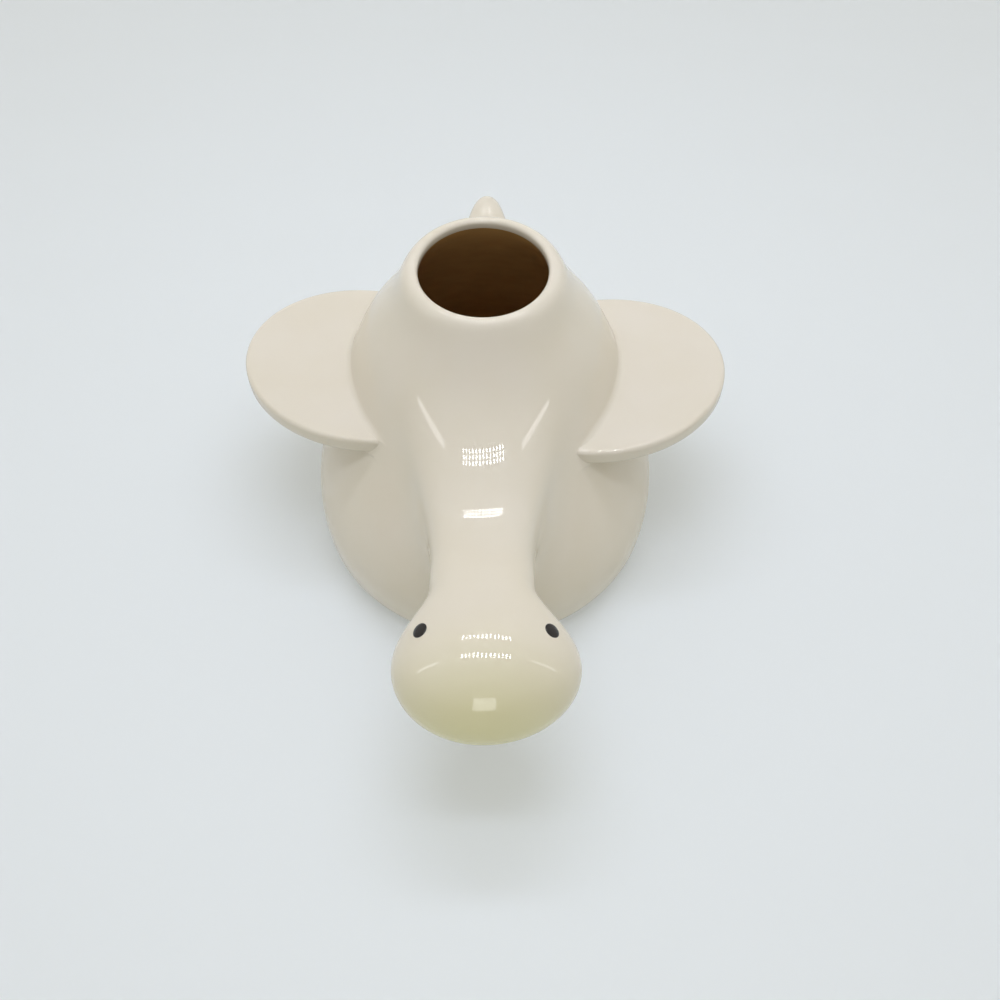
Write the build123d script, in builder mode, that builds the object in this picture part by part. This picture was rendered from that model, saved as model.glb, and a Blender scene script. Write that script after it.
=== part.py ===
"""Glazed ceramic planter in the shape of a duck-like bird, in millimetres.

+Z is up and the head looks along -Y. The origin is on the table, under the middle of the overall length.
Left and right are the bird's own, so its left is +X.
"""
import math
import os

from build123d import *

# Silicone pads under the foot ring
PAD_HEIGHT = 1.5
PAD_DIAMETER = 9.0
PAD_MARGIN = 2.0
PAD_ROUND = 0.4
PAD_ANGLE = 42.0

# Drain hole in the floor, and the silicone plug whose flange hides in the recess under the foot
DRAIN_DIAMETER = 12.0
PLUG_CLEARANCE = 0.1
PLUG_SEAT_GAP = 0.2
PLUG_FLANGE = 1.2
PLUG_FLANGE_LIP = 4.0
PLUG_SHY = 0.8
PLUG_STAND = 2.0
PLUG_LEAD = 1.0

# Body: level ovals from the foot up. Each has a width, its rise above the one below and its setback from
# that one at the front and the back, where a minus stands further out
FOOT_WIDTH = 122.0
FOOT_FRONT = -39.7
FOOT_BACK = 92.5
FOOT_ROUND = 5.0
BELLY_RISE = 18.5
BELLY_WIDTH = 124.0
BELLY_FRONT_SETBACK = -1.8
BELLY_BACK_SETBACK = -1.0
FLANK_RISE = 36.0
FLANK_WIDTH = 100.6
FLANK_FRONT_SETBACK = 16.1
FLANK_BACK_SETBACK = 9.5
SHOULDER_RISE = 22.0
SHOULDER_WIDTH = 82.0
SHOULDER_FRONT_SETBACK = 20.9
SHOULDER_BACK_SETBACK = 5.0
RIM_RISE = 23.5

# Mouth, the rolled lip that stands proud of its wall on both sides, and the walls of the casting
MOUTH_DIAMETER = 44.0
MOUTH_SETBACK = 35.5
LIP_DIAMETER = 4.5
LIP_PROUD = 0.3
WALL = 4.5
FLOOR = 5.0
FLOOR_ROUND = 8.0

# Neck: upright ovals that flare out into the body, each with its step in front of the one behind
NECK_ROOT_STEP = 0.5
NECK_ROOT_HEIGHT = 47.0
NECK_ROOT_WIDTH = 76.0
NECK_ROOT_DEPTH = 57.0
NECK_FLARE_STEP = 14.0
NECK_FLARE_HEIGHT = 47.0
NECK_FLARE_WIDTH = 64.0
NECK_FLARE_DEPTH = 46.8
NECK_THROAT_STEP = 11.5
NECK_THROAT_HEIGHT = 48.5
NECK_THROAT_WIDTH = 49.0
NECK_THROAT_DEPTH = 39.2
NECK_STEP = 19.5
NECK_HEIGHT = 50.0
NECK_WIDTH = 34.4
NECK_DEPTH = 33.6

# Head: it swells from the neck to the cheeks and the middle, then closes in a dome
CHEEK_STEP = 13.5
CHEEK_WIDTH = 47.0
CHEEK_DEPTH = 36.6
HEAD_STEP = 16.5
HEAD_DROP = 1.0
HEAD_WIDTH = 58.0
HEAD_DEPTH = 40.0
HEAD_FRONT = 23.3
DOME_ANGLES = (28.0, 52.0, 70.0, 81.0)

# Eyes: domed spots of black glaze, on rays from the middle of the head
EYE_DIAMETER = 4.8
EYE_BULGE = 0.5
EYE_SEAT = 0.8
EYE_TURN = 13.4
EYE_RISE = 35.6

# Wings: half-round plates at flank height, whose oval outlines lean back
WING_THICKNESS = 6.0
WING_EDGE_FLAT = 0.2
WING_INSET = 7.5
WING_LENGTH = 89.4
WING_CHORD = 75.6
WING_LEAN = 22.7
LEFT_WING_SETBACK = 7.6
RIGHT_WING_SETBACK = 12.8

# Tail: a round spike that rises out of the back, given by its thickness along the way
TAIL_INSET = 19.5
TAIL_HEIGHT = 48.0
TAIL_RISE = 43.8
TAIL_ROOT_DIAMETER = 34.0
TAIL_LOWER = 25.0
TAIL_WAIST_DIAMETER = 24.0
TAIL_UPPER = 20.0
TAIL_END_DIAMETER = 14.0
TAIL_TIP = 8.5

# Levels and places that follow from the sizes above
FOOT_RING = PAD_DIAMETER + 2 * PAD_MARGIN
RECESS_DEPTH = PLUG_SEAT_GAP + PLUG_FLANGE + PLUG_SHY
FLOOR_UNDERSIDE = PAD_HEIGHT + RECESS_DEPTH
FLOOR_TOP = FLOOR_UNDERSIDE + FLOOR
FOOT_MIDDLE = (FOOT_FRONT + FOOT_BACK) / 2
FOOT_LENGTH = FOOT_BACK - FOOT_FRONT
BELLY_HEIGHT = PAD_HEIGHT + BELLY_RISE
BELLY_FRONT = FOOT_FRONT + BELLY_FRONT_SETBACK
BELLY_BACK = FOOT_BACK - BELLY_BACK_SETBACK
FLANK_HEIGHT = BELLY_HEIGHT + FLANK_RISE
FLANK_FRONT = BELLY_FRONT + FLANK_FRONT_SETBACK
FLANK_BACK = BELLY_BACK - FLANK_BACK_SETBACK
FLANK_MIDDLE = (FLANK_FRONT + FLANK_BACK) / 2
SHOULDER_HEIGHT = FLANK_HEIGHT + SHOULDER_RISE
SHOULDER_FRONT = FLANK_FRONT + SHOULDER_FRONT_SETBACK
SHOULDER_BACK = FLANK_BACK - SHOULDER_BACK_SETBACK
RIM_HEIGHT = SHOULDER_HEIGHT + RIM_RISE
LIP_HEIGHT = RIM_HEIGHT - LIP_DIAMETER / 2
LIP_RADIUS = (MOUTH_DIAMETER + LIP_DIAMETER) / 2
RIM_WALL = LIP_DIAMETER - 2 * LIP_PROUD
RIM_RADIUS = LIP_RADIUS + RIM_WALL / 2
MOUTH_Y = SHOULDER_BACK - MOUTH_SETBACK
NECK_ROOT_REACH = NECK_ROOT_STEP - SHOULDER_FRONT
NECK_FLARE_REACH = NECK_ROOT_REACH + NECK_FLARE_STEP
NECK_THROAT_REACH = NECK_FLARE_REACH + NECK_THROAT_STEP
NECK_REACH = NECK_THROAT_REACH + NECK_STEP
CHEEK_REACH = NECK_REACH + CHEEK_STEP
HEAD_REACH = CHEEK_REACH + HEAD_STEP
HEAD_HEIGHT = NECK_HEIGHT - HEAD_DROP
TAIL_Y = FLANK_BACK - TAIL_INSET
TAIL_LENGTH = TAIL_LOWER + TAIL_UPPER + TAIL_TIP


def body_form(base_height, base_round, wall, rim_wall):
    """Body as a solid, drawn in by a wall, from a rounded base up to the middle of the lip."""
    rim = RIM_RADIUS - rim_wall
    levels = [
        (base_height, FOOT_WIDTH / 2 - wall, FOOT_FRONT + wall, FOOT_BACK - wall),
        (BELLY_HEIGHT, BELLY_WIDTH / 2 - wall, BELLY_FRONT + wall, BELLY_BACK - wall),
        (FLANK_HEIGHT, FLANK_WIDTH / 2 - wall, FLANK_FRONT + wall, FLANK_BACK - wall),
        (SHOULDER_HEIGHT, SHOULDER_WIDTH / 2 - wall, SHOULDER_FRONT + wall, SHOULDER_BACK - wall),
        (LIP_HEIGHT, rim, MOUTH_Y - rim, MOUTH_Y + rim),
    ]
    with BuildPart() as form:
        for height, half_width, front, back in levels:
            with BuildSketch(Plane.XY.offset(height)):
                with Locations((0, (front + back) / 2)):
                    Ellipse(half_width, (back - front) / 2)
        loft()
        fillet(form.edges().group_by(Axis.Z)[0], base_round)
    return form.part


def neck_form(wall):
    """Neck and head as a solid, drawn in by a wall, from inside the body to the domed front."""
    cheek_height = (NECK_HEIGHT + HEAD_HEIGHT) / 2
    head_half_width = HEAD_WIDTH / 2 - wall
    head_half_depth = HEAD_DEPTH / 2 - wall
    ovals = [
        (NECK_ROOT_REACH, NECK_ROOT_HEIGHT, NECK_ROOT_WIDTH / 2 - wall, NECK_ROOT_DEPTH / 2 - wall),
        (NECK_FLARE_REACH, NECK_FLARE_HEIGHT, NECK_FLARE_WIDTH / 2 - wall, NECK_FLARE_DEPTH / 2 - wall),
        (NECK_THROAT_REACH, NECK_THROAT_HEIGHT, NECK_THROAT_WIDTH / 2 - wall, NECK_THROAT_DEPTH / 2 - wall),
        (NECK_REACH, NECK_HEIGHT, NECK_WIDTH / 2 - wall, NECK_DEPTH / 2 - wall),
        (CHEEK_REACH, cheek_height, CHEEK_WIDTH / 2 - wall, CHEEK_DEPTH / 2 - wall),
        (HEAD_REACH, HEAD_HEIGHT, head_half_width, head_half_depth),
    ]
    for angle in DOME_ANGLES:
        reach = HEAD_REACH + (HEAD_FRONT - wall) * math.sin(math.radians(angle))
        shrink = math.cos(math.radians(angle))
        ovals.append((reach, HEAD_HEIGHT, head_half_width * shrink, head_half_depth * shrink))
    sections = []
    with BuildPart() as form:
        for reach, height, half_width, half_depth in ovals:
            with BuildSketch(Plane.XZ.offset(reach)) as oval:
                with Locations((0, height)):
                    Ellipse(half_width, half_depth)
            sections.append(oval.sketch)
        sections.append(Vertex(0, wall - HEAD_REACH - HEAD_FRONT, HEAD_HEIGHT))
        loft(sections=sections)
    return form.part


os.makedirs("parts", exist_ok=True)

# Whole outside of the casting, still solid
with BuildPart() as outside:
    add(body_form(PAD_HEIGHT, FOOT_ROUND, 0, 0))
    add(neck_form(0))

# Eyes, each square to the skin of the head where its ray comes out
head_middle = Vector(0, -HEAD_REACH, HEAD_HEIGHT)
eye_turn = math.radians(EYE_TURN)
eye_rise = math.radians(EYE_RISE)
eye_dome = ((EYE_DIAMETER / 2) ** 2 + EYE_BULGE**2) / (2 * EYE_BULGE)
eyes = []
for name, side in (("left_eye", 1), ("right_eye", -1)):
    ray = Vector(
        side * math.cos(eye_rise) * math.cos(eye_turn),
        math.cos(eye_rise) * math.sin(eye_turn),
        math.sin(eye_rise),
    )
    hits = [hit for face in outside.faces() for hit in face.find_intersection_points(Axis(head_middle, ray))]
    skin, normal = max(hits, key=lambda hit: (hit[0] - head_middle).dot(ray))
    with BuildPart(Plane(origin=skin, z_dir=normal)) as eye:
        with Locations((0, 0, -EYE_SEAT)):
            Cylinder(EYE_DIAMETER / 2, EYE_SEAT + EYE_BULGE, align=(Align.CENTER, Align.CENTER, Align.MIN))
        with Locations((0, 0, EYE_BULGE - eye_dome)):
            Sphere(eye_dome, mode=Mode.INTERSECT)
    eye.part.label = name
    export_step(eye.part, f"parts/{name}.step")
    eyes.append(eye.part)

# Casting: hollow all the way into the head, with a rolled lip, a foot ring, a drain hole and the eye seats
with BuildPart() as casting:
    add(outside.part)
    add(body_form(FLOOR_TOP, FLOOR_ROUND, WALL, RIM_WALL), mode=Mode.SUBTRACT)
    add(neck_form(WALL), mode=Mode.SUBTRACT)
    with Locations((0, MOUTH_Y, LIP_HEIGHT)):
        Torus(LIP_RADIUS, LIP_DIAMETER / 2)
    with BuildSketch(Plane.XY.offset(PAD_HEIGHT)):
        with Locations((0, FOOT_MIDDLE)):
            Ellipse(FOOT_WIDTH / 2 - FOOT_ROUND - FOOT_RING, FOOT_LENGTH / 2 - FOOT_ROUND - FOOT_RING)
    extrude(amount=RECESS_DEPTH, mode=Mode.SUBTRACT)
    with BuildSketch(Plane.XY.offset(FLOOR_UNDERSIDE)):
        with Locations((0, FOOT_MIDDLE)):
            Circle(DRAIN_DIAMETER / 2)
    extrude(amount=FLOOR, mode=Mode.SUBTRACT)
    for eye_part in eyes:
        add(eye_part, mode=Mode.SUBTRACT)

# The body and the head are luted together where the neck is thinnest
neck_joint = Plane.XZ.offset(NECK_REACH)
with BuildPart() as body_shell:
    add(casting.part)
    split(bisect_by=neck_joint, keep=Keep.BOTTOM)
body_shell.part.label = "body_shell"
export_step(body_shell.part, "parts/body_shell.step")

with BuildPart() as head_shell:
    add(casting.part)
    split(bisect_by=neck_joint, keep=Keep.TOP)
head_shell.part.label = "head_shell"
export_step(head_shell.part, "parts/head_shell.step")

# Wings, cut to the skin of the body
for name, side, setback in (("left_wing", 1, LEFT_WING_SETBACK), ("right_wing", -1, RIGHT_WING_SETBACK)):
    with BuildPart() as wing:
        with BuildSketch(Plane.XY.offset(FLANK_HEIGHT - WING_THICKNESS / 2)):
            with Locations((side * (FLANK_WIDTH / 2 - WING_INSET), FLANK_MIDDLE + setback)):
                Ellipse(WING_LENGTH / 2, WING_CHORD / 2, rotation=side * WING_LEAN)
        extrude(amount=WING_THICKNESS)
        fillet(wing.edges(), (WING_THICKNESS - WING_EDGE_FLAT) / 2)
        add(outside.part, mode=Mode.SUBTRACT)
    wing.part.label = name
    export_step(wing.part, f"parts/{name}.step")

# Tail, turned about its own axis and cut to the skin of the body
tail_rise = math.radians(TAIL_RISE)
tail_axis = Axis((0, TAIL_Y, TAIL_HEIGHT), (0, math.cos(tail_rise), math.sin(tail_rise)))
tail_profile = Plane(
    origin=tail_axis.position,
    x_dir=(1, 0, 0),
    z_dir=(0, -math.sin(tail_rise), math.cos(tail_rise)),
)
with BuildPart() as tail:
    with BuildSketch(tail_profile):
        with BuildLine():
            Spline(
                (TAIL_ROOT_DIAMETER / 2, 0),
                (TAIL_WAIST_DIAMETER / 2, TAIL_LOWER),
                (TAIL_END_DIAMETER / 2, TAIL_LOWER + TAIL_UPPER),
                (0, TAIL_LENGTH),
                tangents=((0, 1), (-1, 0)),
            )
            Polyline((0, TAIL_LENGTH), (0, 0), (TAIL_ROOT_DIAMETER / 2, 0))
        make_face()
    revolve(axis=tail_axis)
    add(outside.part, mode=Mode.SUBTRACT)
tail.part.label = "tail"
export_step(tail.part, "parts/tail.step")

# Drain plug, pushed in from below
with BuildPart() as drain_plug:
    with Locations((0, FOOT_MIDDLE, FLOOR_UNDERSIDE - PLUG_SEAT_GAP - PLUG_FLANGE)):
        Cylinder(
            DRAIN_DIAMETER / 2 + PLUG_FLANGE_LIP,
            PLUG_FLANGE,
            align=(Align.CENTER, Align.CENTER, Align.MIN),
        )
        Cylinder(
            DRAIN_DIAMETER / 2 - PLUG_CLEARANCE,
            PLUG_FLANGE + PLUG_SEAT_GAP + FLOOR + PLUG_STAND,
            align=(Align.CENTER, Align.CENTER, Align.MIN),
        )
    chamfer(drain_plug.faces().sort_by(Axis.Z)[-1].edges(), PLUG_LEAD)
drain_plug.part.label = "drain_plug"
export_step(drain_plug.part, "parts/drain_plug.step")

# Pads, on the middle line of the foot ring
pad_x = (FOOT_WIDTH / 2 - FOOT_ROUND - FOOT_RING / 2) * math.cos(math.radians(PAD_ANGLE))
pad_y = (FOOT_LENGTH / 2 - FOOT_ROUND - FOOT_RING / 2) * math.sin(math.radians(PAD_ANGLE))
for name, side, end in (
    ("front_left_pad", 1, -1),
    ("front_right_pad", -1, -1),
    ("back_left_pad", 1, 1),
    ("back_right_pad", -1, 1),
):
    with BuildPart() as pad:
        with BuildSketch():
            with Locations((side * pad_x, FOOT_MIDDLE + end * pad_y)):
                Circle(PAD_DIAMETER / 2)
        extrude(amount=PAD_HEIGHT)
        fillet(pad.edges().group_by(Axis.Z)[0], PAD_ROUND)
    pad.part.label = name
    export_step(pad.part, f"parts/{name}.step")
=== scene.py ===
"""Scene of a glazed ceramic planter in the shape of a duck-like bird.

Pieces are shaped in millimetres and scaled to metres when they are finished. +Z is up and the head
looks along -Y. Left and right are the bird's own, so its left is +X.
"""
import logging
import math
from dataclasses import dataclass, field
from enum import Enum
from typing import Any, Optional, Sequence, TypeVar

import bmesh
import bpy
import numpy as np
from mathutils import Matrix, Vector
from mathutils.bvhtree import BVHTree
from mathutils.geometry import normal


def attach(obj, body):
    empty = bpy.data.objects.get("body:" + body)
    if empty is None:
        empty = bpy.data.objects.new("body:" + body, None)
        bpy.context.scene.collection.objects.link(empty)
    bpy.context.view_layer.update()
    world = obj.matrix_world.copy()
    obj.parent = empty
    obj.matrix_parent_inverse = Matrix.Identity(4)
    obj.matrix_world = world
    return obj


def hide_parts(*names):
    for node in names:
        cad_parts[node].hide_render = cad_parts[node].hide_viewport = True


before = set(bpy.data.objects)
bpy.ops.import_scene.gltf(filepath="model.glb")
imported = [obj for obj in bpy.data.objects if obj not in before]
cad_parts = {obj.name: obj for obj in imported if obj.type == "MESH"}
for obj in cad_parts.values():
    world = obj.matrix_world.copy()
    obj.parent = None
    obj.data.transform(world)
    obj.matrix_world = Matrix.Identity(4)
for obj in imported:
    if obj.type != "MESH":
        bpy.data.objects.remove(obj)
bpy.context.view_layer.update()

LOG = logging.getLogger("planter")
MM = 0.001
FRONT = -math.pi / 2
QUARTER = math.pi / 2
FULL = 2 * math.pi
# Edges that turn by more than this are shaded as corners.
CORNER_TURN = math.radians(40)
# Rings that are nearer than this along their axis, in mm, count as lying in one plane.
FLAT_GAP = 0.05
# Small moves that give the direction of a skin at a point.
SMALL_TURN = 0.01
SMALL_DROP = 0.1
SMALL_REACH = 0.5
SMALL_SHARE = 0.02
# Inputs and output of a mix node that carry colours, which share their names with others.
MIX_FIRST = 6
MIX_SECOND = 7
MIX_RESULT = 2

Mesh = bmesh.types.BMesh
Piece = bpy.types.Object
Material = bpy.types.Material
Tree = bpy.types.NodeTree
Socket = bpy.types.NodeSocket
Key = str | int
Numbers = Sequence[float]
Places = Sequence[tuple[float, float]]
Ring = list[bmesh.types.BMVert]
Points = list[Vector]
# Half the width of a level oval, its front end, its back end and the Y where it is widest.
Size = np.ndarray
Value = TypeVar("Value", float, Vector, np.ndarray)


class Side(Enum):
    """The two sides of the bird, with the sign of X on each."""

    LEFT = 1
    RIGHT = -1


class Glaze(Enum):
    """Places of the casting's finishes in its material list."""

    IVORY = 0
    LINING = 1
    BARE = 2


Row = tuple[Points, Glaze]


class Curve:
    """Smooth curve through a few sizes: a cubic spline with set or free slopes at its ends."""

    def __init__(
        self,
        places: Numbers,
        sizes: Numbers,
        start_slope: Optional[float] = None,
        end_slope: Optional[float] = None,
    ) -> None:
        """Work out the slope at each place.

        Args:
            places: Where the sizes are given, in rising order.
            sizes: The size at each place.
            start_slope: Slope at the first place, or None to leave it free.
            end_slope: Slope at the last place, or None to leave it free.
        """
        x = np.asarray(places, float)
        y = np.asarray(sizes, float)
        count = len(x)
        gap = np.diff(x)
        rate = np.diff(y) / gap
        system = np.zeros((count, count))
        right = np.zeros(count)
        for i in range(1, count - 1):
            system[i, i - 1 : i + 2] = gap[i], 2 * (gap[i - 1] + gap[i]), gap[i - 1]
            right[i] = 3 * (gap[i] * rate[i - 1] + gap[i - 1] * rate[i])
        for i, other, slope, near in ((0, 1, start_slope, rate[0]), (-1, -2, end_slope, rate[-1])):
            system[i, i] = 2 if slope is None else 1
            system[i, other] = 1 if slope is None else 0
            right[i] = 3 * near if slope is None else slope
        self.places = x
        self.sizes = y
        self.slopes = np.linalg.solve(system, right)

    def at(self, place: float) -> float:
        """Size at a place.

        Args:
            place: Where to read the curve.

        Returns:
            The size there.
        """
        i = int(np.clip(np.searchsorted(self.places, place) - 1, 0, len(self.places) - 2))
        gap = self.places[i + 1] - self.places[i]
        t = (place - self.places[i]) / gap
        start, end = self.sizes[i : i + 2]
        start_slope, end_slope = self.slopes[i : i + 2] * gap
        return float(hermite(start, start_slope, end, end_slope, t))


def hermite(start: Value, start_slope: Value, end: Value, end_slope: Value, t: float) -> Value:
    """Value on the cubic between two ends with set slopes.

    Args:
        start: Value where t is 0.
        start_slope: Slope there, per unit of t.
        end: Value where t is 1.
        end_slope: Slope there, per unit of t.
        t: Place along the cubic.

    Returns:
        The value at t, a number or a vector as the ends are.
    """
    rise = t * t * (3 - 2 * t)
    leave = t * (1 - t) ** 2
    arrive = t * t * (1 - t)
    return start * (1 - rise) + start_slope * leave + end * rise - end_slope * arrive


def smooth_step(low: float, high: float, value: float) -> float:
    """Rise from 0 at low to 1 at high with level ends."""
    t = min(max((value - low) / (high - low), 0.0), 1.0)
    return t * t * (3 - 2 * t)


def spread(start: float, end: float, count: int) -> list[float]:
    """Even values from start to end, both included, with a count of gaps between them."""
    return [start + (end - start) * i / count for i in range(count + 1)]


def steps(start: float, end: float, pitch: float) -> list[float]:
    """Even values from start to end, both included, at most a pitch apart."""
    return spread(start, end, max(1, math.ceil(abs(end - start) / pitch)))


def oval_point(size: Size, angle: float, height: float) -> Vector:
    """Point on a level oval that may be fuller at one end, like an egg.

    Args:
        size: Its size.
        angle: Turn about Z from +X.
        height: Its level.

    Returns:
        The point.
    """
    half_width, front, back, widest = size
    along = math.sin(angle)
    y = widest + along * (back - front) / 2 + along**2 * ((front + back) / 2 - widest)
    return Vector((half_width * math.cos(angle), y, height))


def level_oval(size: Size, height: float, count: int) -> Points:
    """Ring of points on a level oval, from +X round by +Y."""
    return [oval_point(size, FULL * i / count, height) for i in range(count)]


def round_size(radius: float, y: float) -> Size:
    """Size of a level circle round a middle at y."""
    return np.array((radius, y - radius, y + radius, y))


def inset_size(size: Size, inset: float) -> Size:
    """Size of a level oval that lies an inset inside another one."""
    return size + inset * np.array((-1.0, 1.0, -1.0, 0.0))


def add_ring(bm: Mesh, points: Points) -> Ring:
    """Add a closed ring of edges through points.

    Args:
        bm: Mesh to add to.
        points: Corners of the ring in order.

    Returns:
        The ring's vertices in order.
    """
    made = bmesh.ops.create_circle(bm, segments=len(points), radius=1.0)["verts"]
    ring = sorted(made, key=lambda vert: math.atan2(vert.co.y, vert.co.x))
    for vert, point in zip(ring, points):
        vert.co = point
    return ring


def edges_of(bm: Mesh, ring: Ring) -> list[bmesh.types.BMEdge]:
    """Edges between the neighbours of a closed ring."""
    return [bm.edges.get((ring[i - 1], ring[i])) for i in range(len(ring))]


def middle_of(ring: Ring) -> Vector:
    """Middle of a ring's corners."""
    return sum((vert.co for vert in ring), Vector()) / len(ring)


def bridge(bm: Mesh, first: Ring, second: Ring, finish: int = 0) -> None:
    """Join two rings with a band of faces.

    Rings that lie in one plane are held apart while the band is made, so that it isn't twisted.

    Args:
        bm: Mesh that holds the rings.
        first: One ring.
        second: The other ring.
        finish: Index of the band's material.
    """
    axis = normal([vert.co for vert in first])
    apart = axis.dot(middle_of(second) - middle_of(first))
    lift = axis if abs(apart) < FLAT_GAP else Vector()
    bmesh.ops.translate(bm, vec=lift, verts=second)
    made = bmesh.ops.bridge_loops(bm, edges=edges_of(bm, first) + edges_of(bm, second))
    bmesh.ops.translate(bm, vec=-lift, verts=second)
    for face in made["faces"]:
        face.material_index = finish
        face.smooth = True


def cap(bm: Mesh, ring: Ring, finish: int = 0) -> None:
    """Close a ring with one face.

    Args:
        bm: Mesh that holds the ring.
        ring: The ring to close.
        finish: Index of the face's material.
    """
    for face in bmesh.ops.edgeloop_fill(bm, edges=edges_of(bm, ring))["faces"]:
        face.material_index = finish
        face.smooth = True


def loft(bm: Mesh, rows: Sequence[Points], finish: int = 0, close_start: bool = True) -> list[Ring]:
    """Skin over rows of points, each a closed ring, with the last ring capped.

    Args:
        bm: Mesh to add to.
        rows: The rings' points, with the same count in each.
        finish: Index of the skin's material.
        close_start: Whether the first ring is capped too.

    Returns:
        The rings in order.
    """
    rings = [add_ring(bm, row) for row in rows]
    for first, second in zip(rings, rings[1:]):
        bridge(bm, first, second, finish)
    if close_start:
        cap(bm, rings[0], finish)
    cap(bm, rings[-1], finish)
    return rings


def turned(profile: Places, x: float, y: float, count: int) -> list[Points]:
    """Rows for a round piece that stands upright.

    Args:
        profile: Radius and height of each row.
        x: X of its axis.
        y: Y of its axis.
        count: Points in each row.

    Returns:
        One row of points for each place of the profile.
    """
    rows = []
    for radius, height in profile:
        row = level_oval(round_size(radius, y), height, count)
        rows.append([point + Vector((x, 0, 0)) for point in row])
    return rows


def make_object(bm: Mesh, name: str) -> Piece:
    """Turn a mesh in millimetres into an object in metres.

    Args:
        bm: The mesh, which is freed.
        name: Name of the object.

    Returns:
        The object, linked to the scene.
    """
    bmesh.ops.recalc_face_normals(bm, faces=bm.faces)
    bmesh.ops.scale(bm, vec=(MM, MM, MM), verts=bm.verts)
    mesh = bpy.data.meshes.new(name)
    bm.to_mesh(mesh)
    bm.free()
    mesh.set_sharp_from_angle(angle=CORNER_TURN)
    made = bpy.data.objects.new(name, mesh)
    bpy.context.scene.collection.objects.link(made)
    return made


def loft_object(rows: Sequence[Points], name: str) -> Piece:
    """Object with a skin over rows of points, closed at both ends.

    Args:
        rows: Its rings' points.
        name: Name of the object.

    Returns:
        The object, linked to the scene.
    """
    bm = bmesh.new()
    loft(bm, rows)
    return make_object(bm, name)


def cut_away(piece: Piece, cutter: Piece) -> None:
    """Take the space of one object out of another for good.

    Args:
        piece: The object to cut.
        cutter: The space to take out.
    """
    cut = piece.modifiers.new("cut", "BOOLEAN")
    cut.operation = "DIFFERENCE"
    cut.solver = "EXACT"
    cut.object = cutter
    bpy.context.view_layer.update()
    cut_piece = piece.evaluated_get(bpy.context.evaluated_depsgraph_get())
    whole = piece.data
    piece.data = bpy.data.meshes.new_from_object(cut_piece)
    piece.data.name = piece.name
    piece.data.set_sharp_from_angle(angle=CORNER_TURN)
    piece.modifiers.clear()
    bpy.data.meshes.remove(whole)


def place(piece: Piece, node: str, body: str, slot: str, finishes: Sequence[Material]) -> None:
    """Dress a piece and put it on its body in place of its CAD node.

    Args:
        piece: The finished object.
        node: CAD node that it stands for.
        body: CAD body that it rides on.
        slot: Material slot in the record; not used.
        finishes: Its materials in the order of the faces' indices.
    """
    for finish in finishes:
        piece.data.materials.append(finish)
    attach(piece, body)
    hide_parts(node)
    LOG.info("%s: %d faces, replaces %s", piece.name, len(piece.data.polygons), node)


@dataclass
class WingForm:
    """A half-round plate at flank height, whose oval outline leans back.

    The tongue is the share of the outline by which the glaze at its root runs on past it.
    """

    side: Side
    middle_y: float
    tongue: float
    middle_x: float = 42.8
    half_length: float = 44.7
    half_chord: float = 37.8
    lean: float = 22.7
    height: float = 56.0
    half_thickness: float = 3.0
    edge_round: float = 1.5
    edge_steps: int = 6
    flat_inset: float = 0.4
    count: int = 160

    def inside(self, x: float, y: float) -> float:
        """How far a place is inside the outline: 1 in the middle, 0 on it, below 0 outside.

        Args:
            x: X of the place.
            y: Y of the place.

        Returns:
            The share.
        """
        lean = self.side.value * math.radians(self.lean)
        dx = x - self.side.value * self.middle_x
        dy = y - self.middle_y
        along = dx * math.cos(lean) + dy * math.sin(lean)
        across = dy * math.cos(lean) - dx * math.sin(lean)
        return 1 - (along / self.half_length) ** 2 - (across / self.half_chord) ** 2

    def row(self, inset: float, rise: float) -> Points:
        """One ring of the plate.

        Args:
            inset: How far it lies inside the outline.
            rise: Its height over the middle of the plate.

        Returns:
            The ring's points.
        """
        lean = Matrix.Rotation(self.side.value * math.radians(self.lean), 4, "Z")
        middle = Vector((self.side.value * self.middle_x, self.middle_y, self.height + rise))
        outline = np.array((self.half_length, -self.half_chord, self.half_chord, 0.0))
        flat = level_oval(inset_size(outline, inset), 0.0, self.count)
        return [middle + lean @ point for point in flat]

    def rows(self) -> list[Points]:
        """Rings from the underside's flat round the edge to the flat of the top.

        Returns:
            The rings in order.
        """
        flat_edge = self.half_thickness - self.edge_round
        flat_start = self.edge_round + self.flat_inset
        profile = [(flat_start, -self.half_thickness)]
        for shift, start, end in ((-flat_edge, -QUARTER, 0.0), (flat_edge, 0.0, QUARTER)):
            for angle in spread(start, end, self.edge_steps):
                inset = self.edge_round * (1 - math.cos(angle))
                profile.append((inset, shift + self.edge_round * math.sin(angle)))
        profile.append((flat_start, self.half_thickness))
        return [self.row(inset, rise) for inset, rise in profile]


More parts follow.
